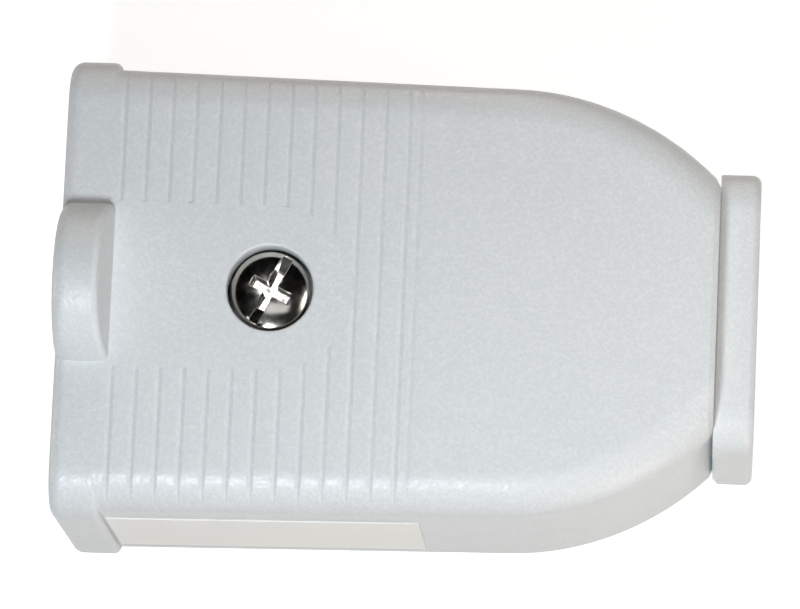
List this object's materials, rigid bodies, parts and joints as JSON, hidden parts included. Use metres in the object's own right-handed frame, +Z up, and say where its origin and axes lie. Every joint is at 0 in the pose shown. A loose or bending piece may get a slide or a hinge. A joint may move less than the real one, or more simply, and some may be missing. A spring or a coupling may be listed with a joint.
{
  "type": "inline socket connector",
  "caption": "White moulded inline socket connector for flat-blade plugs: grooved clamshell housing with front rim, thumb lug, recessed screw and cable collar.",
  "frame": {"origin": "under the middle of the connector, on the surface that it lies on", "axes": "+X along the connector from the socket face to the cable collar, +Y across it to the live side, +Z up through the screw head"},
  "size_m": [0.05, 0.0336, 0.0265],
  "materials": {
    "housing_plastic": "satin moulded, finely textured",
    "nickel_screw": "bright nickel plate",
    "zinc_steel": "zinc plate",
    "contact_brass": "rolled strip",
    "clamp_plastic": "natural moulded",
    "label_paper": "matte paper"
  },
  "bodies": {
    "root": {"upper_housing": "housing_plastic", "lower_housing": "housing_plastic", "housing_screw": "nickel_screw", "housing_nut": "zinc_steel", "live_contact": "contact_brass", "neutral_contact": "contact_brass", "live_terminal_screw": "nickel_screw", "neutral_terminal_screw": "nickel_screw", "live_terminal_washer": "zinc_steel", "neutral_terminal_washer": "zinc_steel", "live_terminal_nut": "zinc_steel", "neutral_terminal_nut": "zinc_steel", "cord_clamp": "clamp_plastic", "cord_clamp_screw_left": "zinc_steel", "cord_clamp_screw_right": "zinc_steel", "paper_label": "label_paper"}
  },
  "joints": []
}
